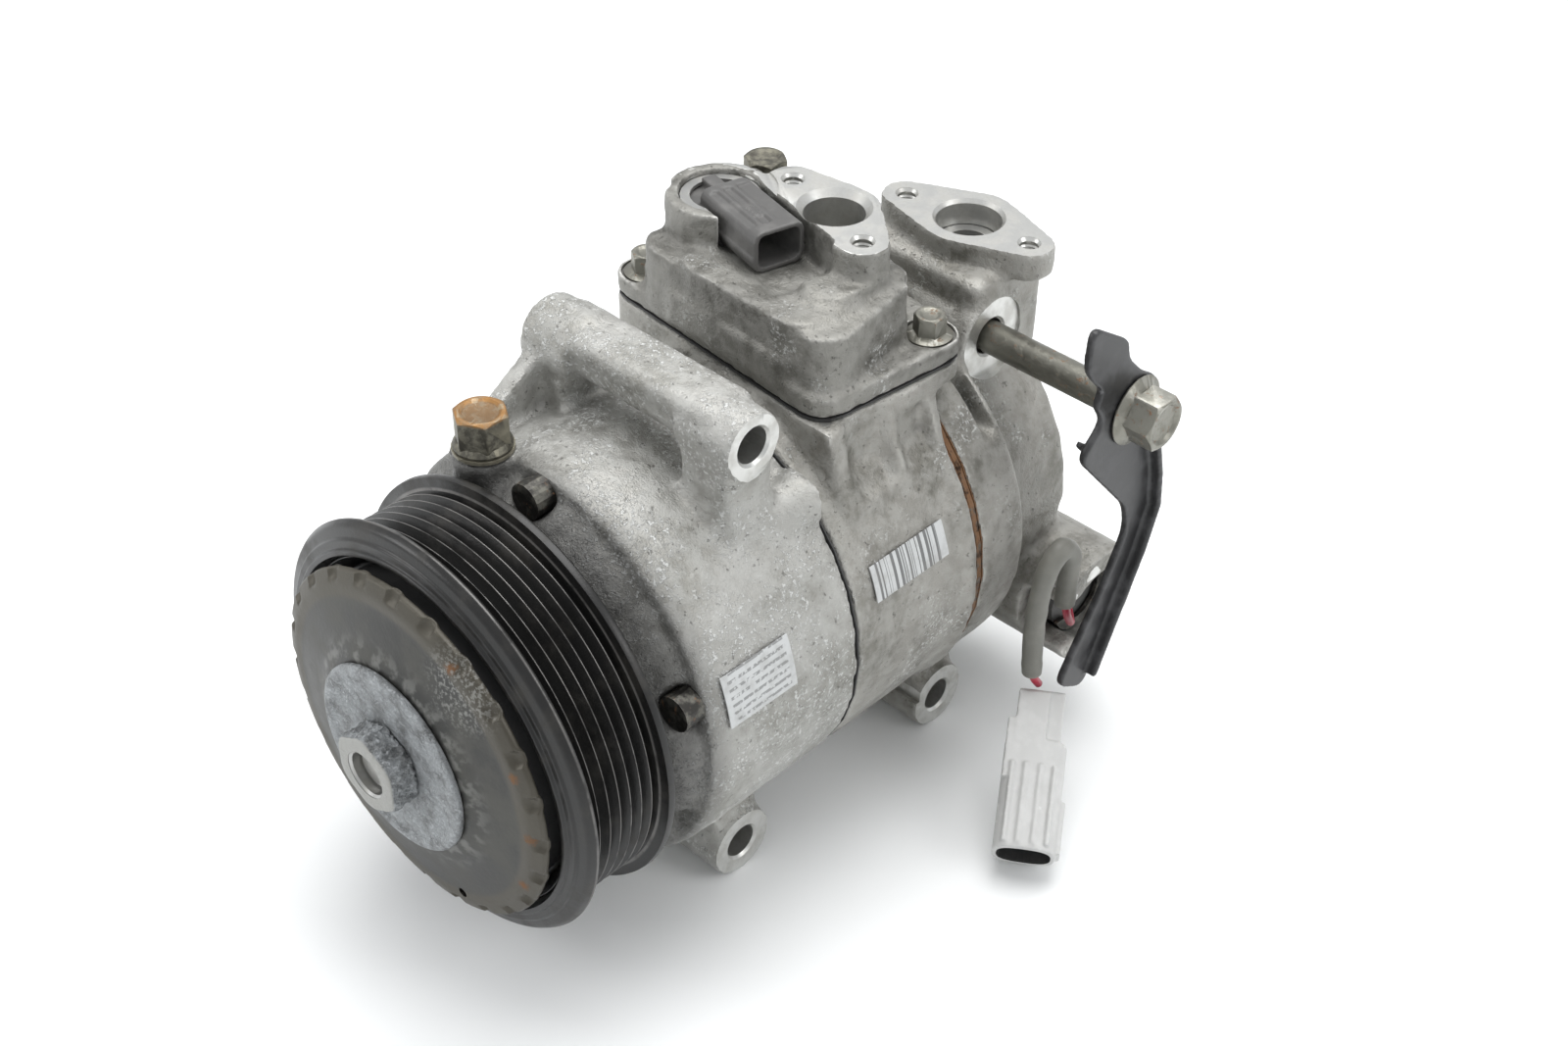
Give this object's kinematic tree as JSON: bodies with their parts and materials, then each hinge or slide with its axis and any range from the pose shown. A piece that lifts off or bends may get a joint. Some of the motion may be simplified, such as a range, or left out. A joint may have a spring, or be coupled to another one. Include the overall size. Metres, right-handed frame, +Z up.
{
  "type": "automotive ac compressor",
  "caption": "Variable displacement swash plate compressor with poly-V pulley, torque limiter, discharge block, ported rear head and mounting ears.",
  "frame": {"origin": "middle of the bounding box in X and Y, at the undersides of the lower ear bosses", "axes": "+Y along the shaft from the pulley to the rear head, +Z up through the ports, +X to the side with the ear faces and the connector"},
  "size_m": [0.1742, 0.2372, 0.176],
  "materials": {
    "cast_aluminium": "rough sand cast, oxidised",
    "dark_cast_aluminium": "weathered die cast",
    "black_steel": "satin",
    "slate_steel": "phosphated, worn",
    "steel": "machined",
    "zinc_steel": "zinc plated, dull",
    "rubber": "matte",
    "brass": "stained",
    "black_plastic": "moulded",
    "pale_plastic": "moulded",
    "sleeve": "soft tube",
    "red_wire": "insulation",
    "paper": "sticker",
    "rusty_steel": "rusty edge"
  },
  "bodies": {
    "casing": {"front_housing": "cast_aluminium", "cylinder_block": "cast_aluminium", "rear_housing": "cast_aluminium", "discharge_block": "dark_cast_aluminium", "front_gasket": "rubber", "block_gasket": "rubber", "shaft_seal": "rubber", "rear_gasket_inner": "rusty_steel", "rear_gasket_outer": "rusty_steel", "valve_plate": "rusty_steel", "block_bolt_1": "zinc_steel", "block_bolt_2": "zinc_steel", "block_bolt_3": "zinc_steel", "through_bolt_1": "steel", "through_bolt_2": "steel", "through_bolt_3": "steel", "through_bolt_4": "steel", "through_bolt_5": "steel", "fill_plug": "brass", "fill_plug_washer": "brass", "relief_valve": "brass", "mount_bolt": "zinc_steel", "pulley_bearing": "steel", "bearing_ring": "steel", "front_shaft_bearing": "steel", "rear_shaft_bearing": "steel", "return_spring": "steel", "suction_seat_ring": "steel", "sensor_circlip": "steel", "valve_circlip": "steel", "flow_sensor": "black_plastic", "control_valve": "black_plastic", "lead_sleeve": "sleeve", "valve_wire": "red_wire", "connector_wire": "red_wire", "lead_connector": "pale_plastic", "connector_bracket": "black_steel", "data_label": "paper", "code_label": "paper"},
    "rotor": {"pulley": "black_steel", "front_plate": "slate_steel", "limiter_washer": "steel", "hub": "steel", "damper_ring": "rubber", "drive_flange": "steel", "shaft": "steel", "lug_plate": "steel"},
    "swash": {"swash_plate": "steel"},
    "piston_1": {"piston_1": "cast_aluminium"},
    "piston_2": {"piston_2": "cast_aluminium"},
    "piston_3": {"piston_3": "cast_aluminium"},
    "piston_4": {"piston_4": "cast_aluminium"},
    "piston_5": {"piston_5": "cast_aluminium"},
    "piston_6": {"piston_6": "cast_aluminium"},
    "piston_7": {"piston_7": "cast_aluminium"},
    "check_valve": {"suction_check_valve": "black_plastic"}
  },
  "joints": [
    {"name": "drive_spin", "type": "hinge", "parent": "casing", "child": "rotor", "pos_m": [-0.0248, -0.0944, 0.0758], "axis": [0, 1, 0], "continuous": true},
    {"name": "swash_tilt", "type": "hinge", "parent": "casing", "child": "swash", "pos_m": [-0.0248, -0.0144, 0.0758], "axis": [-1, 0, 0], "range_deg": [0, 16], "stiffness_Nm_per_rad": 2, "springref_deg": -2.86},
    {"name": "suction_valve_lift", "type": "slide", "parent": "casing", "child": "check_valve", "axis": [0, 0, -1], "range_m": [0, 0.003], "stiffness_N_per_m": 60, "springref_m": -0.002},
    {"name": "piston_1_slide", "type": "slide", "parent": "casing", "child": "piston_1", "axis": [0, 1, 0], "range_m": [0, 0.00911]},
    {"name": "piston_2_slide", "type": "slide", "parent": "casing", "child": "piston_2", "axis": [0, 1, 0], "range_m": [0, 0.00229]},
    {"name": "piston_3_slide", "type": "slide", "parent": "casing", "child": "piston_3", "axis": [0, 1, 0], "range_m": [-0.00632, 0]},
    {"name": "piston_4_slide", "type": "slide", "parent": "casing", "child": "piston_4", "axis": [0, 1, 0], "range_m": [-0.0101, 0]},
    {"name": "piston_5_slide", "type": "slide", "parent": "casing", "child": "piston_5", "axis": [0, 1, 0], "range_m": [-0.00632, 0]},
    {"name": "piston_6_slide", "type": "slide", "parent": "casing", "child": "piston_6", "axis": [0, 1, 0], "range_m": [0, 0.00229]},
    {"name": "piston_7_slide", "type": "slide", "parent": "casing", "child": "piston_7", "axis": [0, 1, 0], "range_m": [0, 0.00911]}
  ],
  "couplings": [
    {"joint": "piston_1_slide", "follows": "swash_tilt", "m_per_rad": 0.032435},
    {"joint": "piston_2_slide", "follows": "swash_tilt", "m_per_rad": 0.008011},
    {"joint": "piston_3_slide", "follows": "swash_tilt", "m_per_rad": -0.022446},
    {"joint": "piston_4_slide", "follows": "swash_tilt", "m_per_rad": -0.036},
    {"joint": "piston_5_slide", "follows": "swash_tilt", "m_per_rad": -0.022446},
    {"joint": "piston_6_slide", "follows": "swash_tilt", "m_per_rad": 0.008011},
    {"joint": "piston_7_slide", "follows": "swash_tilt", "m_per_rad": 0.032435}
  ]
}
